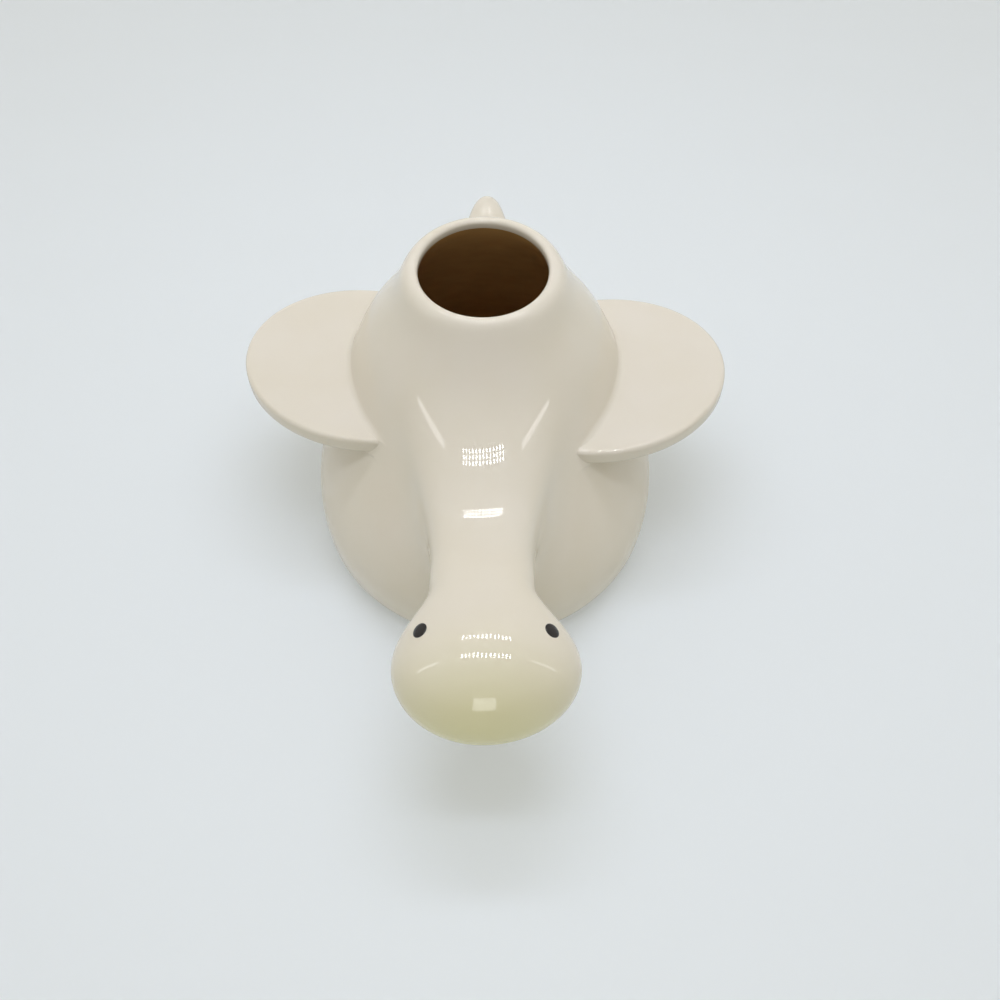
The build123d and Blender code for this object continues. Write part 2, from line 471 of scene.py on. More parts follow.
@dataclass
class BodyForm:
    """Skin of the body: level ovals that smooth curves join from the foot to the lip."""

    wings: Sequence[WingForm]
    levels: Numbers = (1.5, 20.0, 56.0, 78.0, 90.0, 98.0)
    half_widths: Numbers = (61.0, 62.0, 50.0, 39.4, 31.6, 27.9)
    fronts: Numbers = (-39.7, -41.5, -20.0, -3.4, 7.9, 13.8)
    backs: Numbers = (92.5, 93.5, 84.0, 79.0, 75.2, 72.6)
    widest: Numbers = (26.4, 28.0, 44.5, 46.0, 44.5, 43.5)
    root_round: float = 1.5
    root_fade: float = 0.14
    root_end: float = 31.0
    root_end_fade: float = 6.0
    trim_sunk: float = 1.5
    trim_low: float = 20.0
    trim_high: float = 96.0
    trim_pitch: float = 2.0
    trim_count: int = 128

    def __post_init__(self) -> None:
        """Join the levels by curves."""
        sizes = (self.half_widths, self.fronts, self.backs, self.widest)
        self.curves: list[Curve] = [Curve(self.levels, values) for values in sizes]

    def size(self, height: float, wall: float = 0.0) -> Size:
        """Size of the oval at a level, on the skin or a wall inside it."""
        return inset_size(np.array([curve.at(height) for curve in self.curves]), wall)

    def point(self, angle: float, height: float, wall: float = 0.0) -> Vector:
        """Point on the skin, or on the inside of the wall.

        Args:
            angle: Turn about Z from +X.
            height: Level of the point.
            wall: How far inside the skin it is.

        Returns:
            The point, with the soft roots of the wings on the outside.
        """
        size = self.size(height, wall)
        spot = oval_point(size, angle, height)
        if wall:
            return spot
        ahead = oval_point(size, angle + SMALL_TURN, height)
        along = ahead - oval_point(size, angle - SMALL_TURN, height)
        outward = Vector((along.y, -along.x, 0)).normalized()
        return spot + outward * self.root(spot)

    def root(self, spot: Vector) -> float:
        """How far the glaze swells out at the root of a wing.

        Args:
            spot: Point on the plain skin.

        Returns:
            The swelling along the outward direction.
        """
        swelling = 0.0
        for wing in self.wings:
            gap = max(abs(spot.z - wing.height) - wing.half_thickness, 0.0)
            if spot.x * wing.side.value < 0 or gap >= self.root_round:
                continue
            inside = wing.inside(spot.x, spot.y)
            cover = smooth_step(-wing.tongue, self.root_fade - wing.tongue, inside)
            cover *= smooth_step(self.root_end, self.root_end + self.root_end_fade, abs(spot.x))
            reach = self.root_round - math.sqrt(self.root_round**2 - (self.root_round - gap) ** 2)
            swelling = max(swelling, cover * reach)
        return swelling

    def trim_block(self) -> Piece:
        """Plain block just inside the skin, to trim what is joined on.

        Returns:
            The block as an object.
        """
        rows = []
        for height in steps(self.trim_low, self.trim_high, self.trim_pitch):
            rows.append(level_oval(self.size(height, self.trim_sunk), height, self.trim_count))
        return loft_object(rows, "trim_block")


@dataclass
class NeckForm:
    """Neck and head: upright ovals along -Y that end in a dome."""

    reaches: Numbers = (30.5, 44.0, 50.0, 54.0, 58.0, 63.5, 70.0, 80.0)
    widths: Numbers = (37.0, 33.4, 33.6, 33.9, 35.2, 41.8, 51.6, 58.0)
    depths: Numbers = (37.0, 34.4, 33.6, 33.9, 35.0, 36.9, 38.6, 40.0)
    heights: Numbers = (49.6, 49.9, 50.0, 49.9, 49.8, 49.5, 49.2, 49.0)
    joint_reach: float = 50.0
    flat_top: float = 0.42
    dome: float = 23.3
    lean: float = 1.5

    def __post_init__(self) -> None:
        """Join the ovals by curves that run level into the dome."""
        self.width_curve = Curve(self.reaches, self.widths, end_slope=0)
        self.depth_curve = Curve(self.reaches, self.depths, end_slope=0)
        self.height_curve = Curve(self.reaches, self.heights, end_slope=0)

    def across(self, turn: float, reach: float) -> float:
        """Share of the half width at a turn about the neck, whose back is flatter than an oval."""
        flat = self.flat_top * (1 - smooth_step(self.joint_reach, self.reaches[-1], reach))
        return math.cos(turn) * (1 + flat * max(math.sin(turn), 0.0) ** 2)

    def point(self, turn: float, reach: float, wall: float = 0.0) -> Vector:
        """Point on the neck, or on the inside of its wall.

        Args:
            turn: Turn about the neck's axis from +X by +Z.
            reach: Distance in front of the origin.
            wall: How far inside the skin it is.

        Returns:
            The point.
        """
        half_width = self.width_curve.at(reach) / 2 - wall
        half_depth = self.depth_curve.at(reach) / 2 - wall
        height = self.height_curve.at(reach)
        x = self.lean * smooth_step(self.joint_reach, self.reaches[-1], reach)
        x += half_width * self.across(turn, reach)
        return Vector((x, -reach, height + half_depth * math.sin(turn)))

    def dome_point(self, turn: float, angle: float, wall: float = 0.0) -> Vector:
        """Point on the dome at the front of the head.

        Args:
            turn: Turn about the neck's axis from +X by +Z.
            angle: 0 where the dome starts, a quarter turn at its tip.
            wall: How far inside the skin it is.

        Returns:
            The point.
        """
        half_width = (self.widths[-1] / 2 - wall) * math.cos(angle)
        half_depth = (self.depths[-1] / 2 - wall) * math.cos(angle)
        reach = self.reaches[-1] + (self.dome - wall) * math.sin(angle)
        height = self.heights[-1] + half_depth * math.sin(turn)
        x = self.lean * math.cos(angle)
        return Vector((x + half_width * math.cos(turn), -reach, height))


@dataclass
class Casting:
    """Hollow body and head, which share the wall, the neck and the joint between them.

    The block is the part of the body's wall that gives way to the neck, and the print is the
    outline on the wall from which the neck sweeps out.
    """

    body: BodyForm
    neck: NeckForm
    wall: float = 4.5
    columns: int = 128
    outer_pitch: float = 1.8
    inner_pitch: float = 2.0
    round_steps: int = 8
    root_steps: int = 9
    block_half_columns: int = 18
    block_low: float = 15.0
    block_high: float = 90.0
    print_height: float = 52.0
    print_rise: float = 33.2
    print_fall: float = 31.0
    print_half_width: float = 31.0
    print_flare: float = 10.0
    print_steps: int = 4
    blend_reach: float = 40.0
    blend_reach_top: float = 37.0
    blend_reach_under: float = 46.5
    blend_steps: int = 26
    leave_pull: Numbers = (0.9, 0.52)
    arrive_pull: Numbers = (0.9, 1.2)
    neck_shares: Numbers = (0.14, 0.28, 0.42, 0.56, 0.7, 0.84, 0.97, 1.0)
    joint_bands: Numbers = (0.3, 1.2)
    head_pitch: float = 1.3
    dome_steps: int = 26
    dome_tip: float = 0.025
    foot_level: float = 1.5
    foot_round: float = 5.0
    foot_ring: float = 13.0
    recess: float = 2.2
    recess_flat: float = 12.0
    floor: float = 5.0
    floor_flat: float = 14.0
    floor_round: float = 8.0
    drain_radius: float = 6.0
    edge_ease: float = 0.6
    mouth_radius: float = 22.0
    mouth_y: float = 43.5
    mouth_stretch: float = 1.8
    rim_level: float = 101.5
    rim_wall_level: float = 97.0
    rim_crest: float = 1.5
    rim_roll: float = 7.0
    rim_steps: int = 10
    rim_inside: float = 1.4
    rim_inside_pitch: float = 0.8
    rim_inside_steps: int = 7
    lining_level: float = 92.5

    def build_body(self) -> Piece:
        """Shell of the body up to the joint at the neck.

        Returns:
            The body as one closed object.
        """
        bm = bmesh.new()
        outer_levels = self.outer_levels()
        inner_start = self.floor_level() + self.floor_round
        inner_levels = steps(inner_start, self.lining_level, self.inner_pitch)
        rim = self.rim_rows()
        skin = [(self.wall_row(height, 0.0), Glaze.IVORY) for height in outer_levels]
        foot = self.foot_rows() + self.floor_rows()
        lining = [(self.wall_row(height, self.wall), Glaze.LINING) for height in inner_levels]
        rows = rim + skin + foot + lining + self.mouth_rows()
        rings = [add_ring(bm, row) for row, _ in rows]
        for i, (_, finish) in enumerate(rows):
            bridge(bm, rings[i - 1], rings[i], finish.value)
        skin_start = len(rim)
        lining_start = len(rim + skin + foot)
        skin_rings = rings[skin_start : skin_start + len(skin)]
        lining_rings = rings[lining_start : lining_start + len(lining)]
        skin_end = self.open_neck(bm, skin_rings, outer_levels, 0.0, Glaze.IVORY)
        lining_end = self.open_neck(bm, lining_rings, inner_levels, self.wall, Glaze.LINING)
        bridge(bm, skin_end, lining_end, Glaze.BARE.value)
        return make_object(bm, "glazed_body")

    def build_head(self) -> Piece:
        """Shell of the head from the joint at the neck to its domed front.

        Returns:
            The head as one closed object.
        """
        bm = bmesh.new()
        turns = self.neck_turns(self.block_edge(self.outer_levels()))
        edge, band = (self.neck.joint_reach + gap for gap in self.joint_bands)
        reaches = [self.neck.joint_reach, edge]
        reaches += steps(band, self.neck.reaches[-1], self.head_pitch)
        angles = spread(0.0, QUARTER - self.dome_tip, self.dome_steps)[1:]
        starts = []
        for wall, finish in ((0.0, Glaze.IVORY), (self.wall, Glaze.LINING)):
            rows = [[self.neck.point(turn, reach, wall) for turn in turns] for reach in reaches]
            for angle in angles:
                rows.append([self.neck.dome_point(turn, angle, wall) for turn in turns])
            starts.append(loft(bm, rows, finish.value, close_start=False)[0])
        skin_start, lining_start = starts
        bridge(bm, skin_start, lining_start, Glaze.BARE.value)
        return make_object(bm, "glazed_head")

    def floor_level(self) -> float:
        """Level of the floor inside the pot."""
        return self.foot_level + self.recess + self.floor

    def mouth_size(self) -> Size:
        """Size of the mouth, which is a little longer than it is wide."""
        size = round_size(self.mouth_radius, self.mouth_y)
        return size + self.mouth_stretch * np.array((0.0, -1.0, 1.0, 0.0))

    def wall_row(self, height: float, wall: float) -> Points:
        """Level ring of the wall, on the skin or a wall inside it."""
        angles = spread(0.0, FULL, self.columns)[:-1]
        return [self.body.point(angle, height, wall) for angle in angles]

    def inset_row(self, size: Size, inset: float, height: float) -> Points:
        """Level ring that lies an inset inside an oval."""
        return level_oval(inset_size(size, inset), height, self.columns)

    def outer_levels(self) -> list[float]:
        """Levels of the outer wall from the rim down, close together at the roots of the wings.

        Returns:
            The levels in falling order.
        """
        wing = self.body.wings[0]
        top = wing.height + wing.half_thickness
        bottom = wing.height - wing.half_thickness
        angles = spread(0.0, QUARTER, self.root_steps)
        arc = [self.body.root_round * (1 - math.sin(angle)) for angle in angles]
        high = steps(self.rim_wall_level, top + arc[0], self.outer_pitch)
        upper = [top + gap for gap in arc]
        lower = [bottom - gap for gap in reversed(arc)]
        low = steps(bottom - arc[0], self.foot_level + self.foot_round, self.outer_pitch)
        return high[:-1] + upper + [wing.height] + lower + low[1:]

    def rim_rows(self) -> list[Row]:
        """Rings over the outer half of the lip, from its crest down to the wall.

        Returns:
            The rings in order with their finishes.
        """
        crest = inset_size(self.mouth_size(), -self.rim_crest)
        crest_roll = inset_size(np.zeros(len(crest)), -self.rim_roll)
        wall = self.body.size(self.rim_wall_level)
        below = self.body.size(self.rim_wall_level - SMALL_DROP)
        wall_roll = (below - wall) / SMALL_DROP * self.rim_roll
        rows = []
        for t in spread(0.0, 1.0, self.rim_steps)[:-1]:
            size = hermite(crest, crest_roll, wall, wall_roll, t)
            height = hermite(self.rim_level, 0.0, self.rim_wall_level, -self.rim_roll, t)
            rows.append((self.inset_row(size, 0.0, height), Glaze.IVORY))
        return rows

    def mouth_rows(self) -> list[Row]:
        """Rings up the inside of the lip, from where the lining ends to just short of the crest.

        Returns:
            The rings in order with their finishes.
        """
        size = self.mouth_size()
        high = self.rim_level - self.rim_crest
        heights = steps(high - self.rim_inside, high, self.rim_inside_pitch)
        rows = [(self.inset_row(size, 0.0, heights[0]), Glaze.LINING)]
        rows += [(self.inset_row(size, 0.0, height), Glaze.IVORY) for height in heights[1:]]
        for angle in spread(0.0, QUARTER, self.rim_inside_steps)[1:-1]:
            step = self.rim_crest * (1 - math.cos(angle))
            height = high + self.rim_crest * math.sin(angle)
            rows.append((self.inset_row(size, -step, height), Glaze.IVORY))
        return rows

    def foot_rows(self) -> list[Row]:
        """Rings round the foot, over the bare foot ring and up into the recess under the floor.

        Returns:
            The rings in order with their finishes.
        """
        size = self.body.size(self.foot_level + self.foot_round)
        rows = []
        for angle in spread(0.0, QUARTER, self.round_steps)[1:]:
            inset = self.foot_round * (1 - math.cos(angle))
            height = self.foot_level + self.foot_round * (1 - math.sin(angle))
            rows.append((self.inset_row(size, inset, height), Glaze.IVORY))
        inner = self.foot_round + self.foot_ring
        ease = self.edge_ease
        top = self.foot_level + self.recess
        for inset, height in (
            (inner - ease, self.foot_level),
            (inner, self.foot_level + ease),
            (inner, top - ease),
            (inner + ease, top),
        ):
            rows.append((self.inset_row(size, inset, height), Glaze.BARE))
        return rows

    def floor_rows(self) -> list[Row]:
        """Rings up through the drain hole and over the floor inside.

        Returns:
            The rings in order with their finishes.
        """
        _, front, back, _ = self.body.size(self.foot_level)
        hole = round_size(self.drain_radius, (front + back) / 2)
        under = self.foot_level + self.recess
        top = self.floor_level()
        ease = self.edge_ease
        rows = []
        for wider, height, finish in (
            (self.recess_flat, under, Glaze.BARE),
            (ease, under, Glaze.BARE),
            (0.0, under + ease, Glaze.BARE),
            (0.0, top - ease, Glaze.BARE),
            (ease, top, Glaze.LINING),
            (self.floor_flat, top, Glaze.LINING),
        ):
            rows.append((self.inset_row(hole, -wider, height), finish))
        size = self.body.size(top + self.floor_round, self.wall)
        for angle in spread(0.0, QUARTER, self.round_steps)[:-1]:
            inset = self.floor_round * (1 - math.sin(angle))
            height = top + self.floor_round * (1 - math.cos(angle))
            rows.append((self.inset_row(size, inset, height), Glaze.LINING))
        return rows

    def block_rows(self, levels: Numbers) -> list[int]:
        """Rows of the wall between the top and the bottom of the block."""
        return [i for i, level in enumerate(levels) if self.block_low <= level <= self.block_high]

    def block_columns(self) -> list[int]:
        """Columns of the wall between the two sides of the block."""
        front = round(self.columns * (FRONT % FULL) / FULL)
        return list(range(front - self.block_half_columns, front + self.block_half_columns + 1))

    def block_walk(self, levels: Numbers) -> list[tuple[int, int]]:
        """Way round the edge of the block.

        Args:
            levels: The level of each row of the wall.

        Returns:
            Row and column of each corner in turn.
        """
        rows = self.block_rows(levels)
        columns = self.block_columns()
        walk = [(row, columns[0]) for row in rows[:-1]]
        walk += [(rows[-1], column) for column in columns[:-1]]
        walk += [(row, columns[-1]) for row in reversed(rows[1:])]
        walk += [(rows[0], column) for column in reversed(columns[1:])]
        return walk

    def block_edge(self, levels: Numbers) -> list[tuple[float, float]]:
        """Angle and level of each corner on the way round the block."""
        walk = self.block_walk(levels)
        return [(FULL * column / self.columns - FULL, levels[row]) for row, column in walk]

    def neck_turns(self, edge: Places) -> list[float]:
        """Turns about the neck's axis to which the corners of the block are drawn out.

        Args:
            edge: Angle and level of each corner.

        Returns:
            The turn of each corner from +X by +Z.
        """
        levels = [level for _, level in edge]
        middle = (max(levels) + min(levels)) / 2
        half_height = (max(levels) - min(levels)) / 2
        half_turn = FULL * self.block_half_columns / self.columns
        turns = []
        for angle, level in edge:
            turns.append(math.atan2((level - middle) / half_height, (angle - FRONT) / half_turn))
        return turns

    def open_neck(
        self,
        bm: Mesh,
        rings: Sequence[Ring],
        levels: Numbers,
        wall: float,
        finish: Glaze,
    ) -> Ring:
        """Open a wall at the front and draw its edge out into the neck as far as the joint.

        Args:
            bm: Mesh that holds the wall.
            rings: The wall's rings.
            levels: The level of each ring.
            wall: How far inside the skin the wall lies.
            finish: Finish of the new faces.

        Returns:
            The last ring, at the joint.
        """
        rows = self.block_rows(levels)
        columns = self.block_columns()
        faces = []
        for i, j in zip(rows, rows[1:]):
            for a, b in zip(columns, columns[1:]):
                faces.append(bm.faces.get((rings[i][a], rings[i][b], rings[j][b], rings[j][a])))
        bmesh.ops.delete(bm, geom=faces, context="FACES")
        last = [rings[row][column] for row, column in self.block_walk(levels)]
        edge = self.block_edge(levels)
        turns = self.neck_turns(edge)
        prints = [self.print_place(turn, wall) for turn in turns]
        sweep = self.print_rows(edge, prints, wall)
        sweep += self.blend_rows(prints, turns, wall)
        sweep += self.neck_rows(turns, wall)
        for row in sweep:
            ring = add_ring(bm, row)
            bridge(bm, last, ring, finish.value)
            last = ring
        return last

    def print_place(self, turn: float, wall: float) -> tuple[float, float]:
        """Place on the wall where the sweep into the neck starts.

        Args:
            turn: Turn about the neck's axis.
            wall: How far inside the skin the wall lies.

        Returns:
            Its angle and level.
        """
        half_height = self.print_rise if turn > 0 else self.print_fall
        height = self.print_height + (half_height - wall) * math.sin(turn)
        flare = self.print_flare * max(-math.sin(turn), 0.0) ** 2
        x = (self.print_half_width + flare - wall) * self.neck.across(turn, 0.0)
        return -math.acos(x / self.body.size(height, wall)[0]), height

    def print_rows(self, edge: Places, prints: Places, wall: float) -> list[Points]:
        """Rings on the wall from the edge of the block to the print.

        Args:
            edge: Angle and level of each corner of the block.
            prints: Angle and level where each line of the sweep starts.
            wall: How far inside the skin the rings lie.

        Returns:
            The rings in order, the last one on the print.
        """
        rows = []
        for t in spread(0.0, 1.0, self.print_steps)[1:]:
            row = []
            for (angle, level), (to_angle, to_level) in zip(edge, prints):
                at_angle = angle + (to_angle - angle) * t
                at_level = level + (to_level - level) * t
                row.append(self.body.point(at_angle, at_level, wall))
            rows.append(row)
        return rows

    def blend_end(self, turn: float) -> float:
        """Reach where the sweep from the wall ends: first above, then at the sides, last below."""
        end = self.blend_reach_top if turn > 0 else self.blend_reach_under
        return self.blend_reach + (end - self.blend_reach) * math.sin(turn) ** 2

    def blend_rows(self, prints: Places, turns: Numbers, wall: float) -> list[Points]:
        """Rings that sweep from the wall into the neck, in line with both.

        Args:
            prints: Angle and level on the wall where each line starts.
            turns: Turn about the neck where each line ends.
            wall: How far inside the skin the lines lie.

        Returns:
            The rings in order, the last one on the neck.
        """
        lines = []
        for (angle, level), turn in zip(prints, turns):
            start = self.body.point(angle, level, wall)
            inner_angle = angle + (FRONT - angle) * SMALL_SHARE
            inner_level = level + (self.print_height - level) * SMALL_SHARE
            leave = (self.body.point(inner_angle, inner_level, wall) - start).normalized()
            reach = self.blend_end(turn)
            end = self.neck.point(turn, reach, wall)
            arrive = (self.neck.point(turn, reach + SMALL_REACH, wall) - end).normalized()
            length = (end - start).length
            share = math.sin(turn) ** 2
            leave *= length * hermite(self.leave_pull[0], 0, self.leave_pull[1], 0, share)
            arrive *= length * hermite(self.arrive_pull[0], 0, self.arrive_pull[1], 0, share)
            lines.append((start, leave, end, arrive))
        shares = spread(0.0, 1.0, self.blend_steps)[1:]
        return [[hermite(*line, t) for line in lines] for t in shares]

    def neck_rows(self, turns: Numbers, wall: float) -> list[Points]:
        """Rings of the neck from the end of the sweep to the joint.

        Args:
            turns: Turns of the corners about the neck's axis.
            wall: How far inside the skin the rings lie.

        Returns:
            The rings in order, the last one at the joint.
        """
        rows = []
        for share in self.neck_shares:
            row = []
            for turn in turns:
                start = self.blend_end(turn)
                reach = start + (self.neck.joint_reach - start) * share
                row.append(self.neck.point(turn, reach, wall))
            rows.append(row)
        return rows


@dataclass
class TailForm:
    """Round spike that rises out of the back, turned about its own axis."""

    root_x: float = 0.7
    root_y: float = 64.5
    root_height: float = 48.0
    rise: float = 43.8
    radii: Numbers = (17.0, 12.0, 7.0, 0.0)
    places: Numbers = (0.0, 25.0, 45.0, 53.5)
    pitch: float = 1.0
    tip_gap: float = 0.25
    count: int = 72

    def rows(self) -> list[Points]:
        """Rings from the root to just short of the tip.

        Returns:
            The rings in order.
        """
        gaps = np.hypot(np.diff(self.places), np.diff(self.radii))
        marks = np.append(0.0, np.cumsum(gaps))
        radius = Curve(marks, self.radii, start_slope=0.0, end_slope=-1.0)
        along = Curve(marks, self.places, start_slope=1.0, end_slope=0.0)
        turn = Matrix.Rotation(math.radians(self.rise) - QUARTER, 4, "X")
        root = Vector((self.root_x, self.root_y, self.root_height))
        rows = []
        for mark in steps(0.0, marks[-1] - self.tip_gap, self.pitch):
            flat = level_oval(round_size(radius.at(mark), 0.0), along.at(mark), self.count)
            rows.append([root + turn @ point for point in flat])
        return rows


@dataclass
class EyeSpot:
    """Domed spot of black glaze that lies on the skin of the head.

    The seat's profile gives shares of the radius and of the seat's depth. Far and near are how far
    off the head its skin is looked for, first for the spot's middle and then for its other points.
    """

    side: Side
    radius: float = 2.5
    bulge: float = 0.5
    bulge_steps: int = 9
    bulge_tip: float = 0.06
    seat: float = 0.8
    seat_profile: Places = ((0.9, 1.0), (1.0, 0.4))
    turn: float = 13.4
    rise: float = 35.6
    far: float = 60.0
    near: float = 6.0
    count: int = 48

    def profile(self) -> list[tuple[float, float]]:
        """Section of the spot.

        Returns:
            Radius and height over the skin from the seat to just short of the top.
        """
        places = [(self.radius * wide, -self.seat * deep) for wide, deep in self.seat_profile]
        for angle in spread(0.0, QUARTER - self.bulge_tip, self.bulge_steps):
            places.append((self.radius * math.cos(angle), self.bulge * math.sin(angle)))
        return places

    def build(self, head: Piece, neck: NeckForm) -> Piece:
        """Lay the spot on the head.

        Args:
            head: The finished head.
            neck: Sizes of the head.

        Returns:
            The spot as one closed object.
        """
        skin = BVHTree.FromObject(head, bpy.context.evaluated_depsgraph_get())
        middle = Vector((neck.lean, -neck.reaches[-1], neck.heights[-1]))
        turn = math.radians(self.turn)
        rise = math.radians(self.rise)
        level = math.cos(rise)
        x = self.side.value * level * math.cos(turn)
        ray = Vector((x, level * math.sin(turn), math.sin(rise)))
        hit, outward, _, _ = skin.ray_cast((middle + ray * self.far) * MM, -ray)
        to_skin = outward.to_track_quat("Z", "Y")
        rows = []
        for radius, height in self.profile():
            row = []
            for point in level_oval(round_size(radius, 0.0), self.near, self.count):
                over = hit / MM + to_skin @ point
                ground, _, _, _ = skin.ray_cast(over * MM, -outward)
                row.append(ground / MM + outward * height)
            rows.append(row)
        return loft_object(rows, f"{self.side.name.lower()}_eye_spot")


@dataclass
class DrainStopper:
    """Silicone stopper with a flange, pushed into the drain hole from below."""

    y: float = 26.4
    stem_radius: float = 5.9
    flange_radius: float = 10.0
    flange: float = 1.2
    low: float = 2.3
    high: float = 10.7
    lead: float = 1.0
    lead_ease: float = 0.2
    ease: float = 0.35
    ease_share: float = 0.3
    dimple: float = 0.5
    dimple_flat: float = 3.2
    dimple_edge: float = 4.6
    middle_radius: float = 1.0
    count: int = 72

    def build(self) -> Piece:
        """Turn the stopper about its upright axis.

        Returns:
            The stopper as one closed object.
        """
        ease = self.ease
        soft = self.ease * self.ease_share
        stem = self.stem_radius
        edge = self.flange_radius
        top = self.low + self.flange
        profile = [
            (self.middle_radius, self.low + self.dimple),
            (self.dimple_flat, self.low + self.dimple),
            ((self.dimple_flat + self.dimple_edge) / 2, self.low + self.dimple / 2),
            (self.dimple_edge, self.low),
            (edge - ease, self.low),
            (edge - soft, self.low + soft),
            (edge, self.low + ease),
            (edge, top - ease),
            (edge - soft, top - soft),
            (edge - ease, top),
            (stem + ease, top),
            (stem, top + ease),
            (stem, self.high - self.lead),
            (stem - self.lead + self.lead_ease, self.high - self.lead_ease),
            (stem - self.lead - self.lead_ease, self.high),
            (self.middle_radius, self.high),
        ]
        return loft_object(turned(profile, 0.0, self.y, self.count), "drain_stopper")


@dataclass
class FootPad:
    """Silicone pad stuck under the foot ring."""

    name: str
    x: float
    y: float
    radius: float = 4.5
    height: float = 1.5
    edge_round: float = 0.4
    edge_steps: int = 5
    flat_radius: float = 2.4
    middle_radius: float = 0.6
    count: int = 56

    def build(self) -> Piece:
        """Turn the pad about its upright axis.

        Returns:
            The pad as one closed object.
        """
        profile = [(self.middle_radius, 0.0), (self.flat_radius, 0.0)]
        for angle in spread(-QUARTER, 0.0, self.edge_steps):
            inset = self.edge_round * (1 - math.cos(angle))
            profile.append((self.radius - inset, self.edge_round * (1 + math.sin(angle))))
        profile += [(self.radius, self.height), (self.middle_radius, self.height)]
        return loft_object(turned(profile, self.x, self.y, self.count), f"{self.name}_dot")


def linear(code: str) -> tuple[float, float, float, float]:
    """Linear colour from an sRGB hex code.

    Args:
        code: Six hex digits after a hash sign.

    Returns:
        Red, green, blue and alpha.
    """
    channels = []
    for i in (1, 3, 5):
        value = int(code[i : i + 2], 16) / 255
        channels.append(value / 12.92 if value <= 0.04045 else ((value + 0.055) / 1.055) ** 2.4)
    return (*channels, 1.0)


def per_size(size_mm: float) -> float:
    """Scale of a noise whose features are a size in millimetres."""
    return 1 / (size_mm * MM)


def add_node(
    tree: Tree, kind: str, settings: dict[Key, Any], links: dict[Key, Socket]
) -> bpy.types.Node:
    """Add a node with its settings and links.

    Args:
        tree: Tree to add to.
        kind: Blender's name of the node type.
        settings: Values by property name, or by input name or index.
        links: Output sockets by input name or index.

    Returns:
        The node.
    """
    node = tree.nodes.new(kind)
    for key, value in settings.items():
        if isinstance(key, str) and hasattr(node, key):
            setattr(node, key, value)
        else:
            node.inputs[key].default_value = value
    for key, output in links.items():
        tree.links.new(output, node.inputs[key])
    return node


def new_material(name: str, roughness: float) -> tuple[Material, Tree, bpy.types.Node]:
    """Start a material.

    Args:
        name: Name of the material.
        roughness: Its roughness all over.

    Returns:
        The material, its node tree and its main shader.
    """
    material = bpy.data.materials.new(name)
    material.use_nodes = True
    tree = material.node_tree
    shader = tree.nodes["Principled BSDF"]
    shader.inputs["Roughness"].default_value = roughness
    return material, tree, shader


@dataclass(frozen=True)
class Mottle:
    """Two tones that drift into each other in soft patches of a real size."""

    tone: str
    patch: str
    patch_mm: float
    detail: float

    def add(self, tree: Tree, where: Socket) -> tuple[Socket, Socket]:
        """Add the tones to a material.

        Args:
            tree: The material's node tree.
            where: Place on the piece.

        Returns:
            The strength of the patches and the colour.
        """
        settings = {"Scale": per_size(self.patch_mm), "Detail": self.detail}
        patches = add_node(tree, "ShaderNodeTexNoise", settings, {"Vector": where}).outputs["Fac"]
        tones = {
            "data_type": "RGBA",
            MIX_FIRST: linear(self.tone),
            MIX_SECOND: linear(self.patch),
        }
        colour = add_node(tree, "ShaderNodeMix", tones, {0: patches})
        return patches, colour.outputs[MIX_RESULT]


@dataclass(frozen=True)
class IvoryGlaze:
    """Clear cream glaze over pale clay.

    It gives wet gloss with soft clouds, and a green-yellow tint at the front of the head that is
    painted shade and reflection.
    """

    clouds: Mottle = Mottle("#E0D9CA", "#D8CFB7", patch_mm=38.0, detail=3.0)
    # Painted shade and reflection at the front of the head: its colour, middle, full and fading
    # reach, and strength.
    front_shade_tint: str = "#E0DBA9"
    front_shade_place_mm: Numbers = (0.0, -108.0, 38.0)
    front_shade_full_mm: float = 12.0
    front_shade_end_mm: float = 50.0
    front_shade_strength: float = 0.95
    roughness: float = 0.025
    ior: float = 1.5
    ripple_mm: float = 16.0
    ripple_detail: float = 1.0
    ripple_depth_mm: float = 0.02

    def make(self) -> Material:
        """Build the material.

        Returns:
            The material.
        """
        material, tree, shader = new_material("ivory_glaze", self.roughness)
        where = add_node(tree, "ShaderNodeTexCoord", {}, {}).outputs["Object"]
        _, clouded = self.clouds.add(tree, where)
        # Painted shade and reflection: green-yellow that fades out with distance from the front of
        # the head.
        front_shade_place = Vector(self.front_shade_place_mm) * MM
        away = add_node(
            tree, "ShaderNodeVectorMath", {"operation": "DISTANCE", 1: front_shade_place}, {0: where}
        )
        front_shaded = add_node(
            tree,
            "ShaderNodeMapRange",
            {
                "interpolation_type": "SMOOTHSTEP",
                "From Min": self.front_shade_full_mm * MM,
                "From Max": self.front_shade_end_mm * MM,
                "To Min": self.front_shade_strength,
                "To Max": 0.0,
            },
            {"Value": away.outputs["Value"]},
        )
        colour = add_node(
            tree,
            "ShaderNodeMix",
            {"data_type": "RGBA", MIX_SECOND: linear(self.front_shade_tint)},
            {0: front_shaded.outputs["Result"], MIX_FIRST: clouded},
        )
        ripple = add_node(
            tree,
            "ShaderNodeTexNoise",
            {"Scale": per_size(self.ripple_mm), "Detail": self.ripple_detail},
            {"Vector": where},
        )
        bump = add_node(
            tree,
            "ShaderNodeBump",
            {"Strength": 1.0, "Distance": self.ripple_depth_mm * MM},
            {"Height": ripple.outputs["Fac"]},
        )
        shader.inputs["IOR"].default_value = self.ior
        tree.links.new(colour.outputs[MIX_RESULT], shader.inputs["Base Color"])
        tree.links.new(bump.outputs["Normal"], shader.inputs["Normal"])
        return material


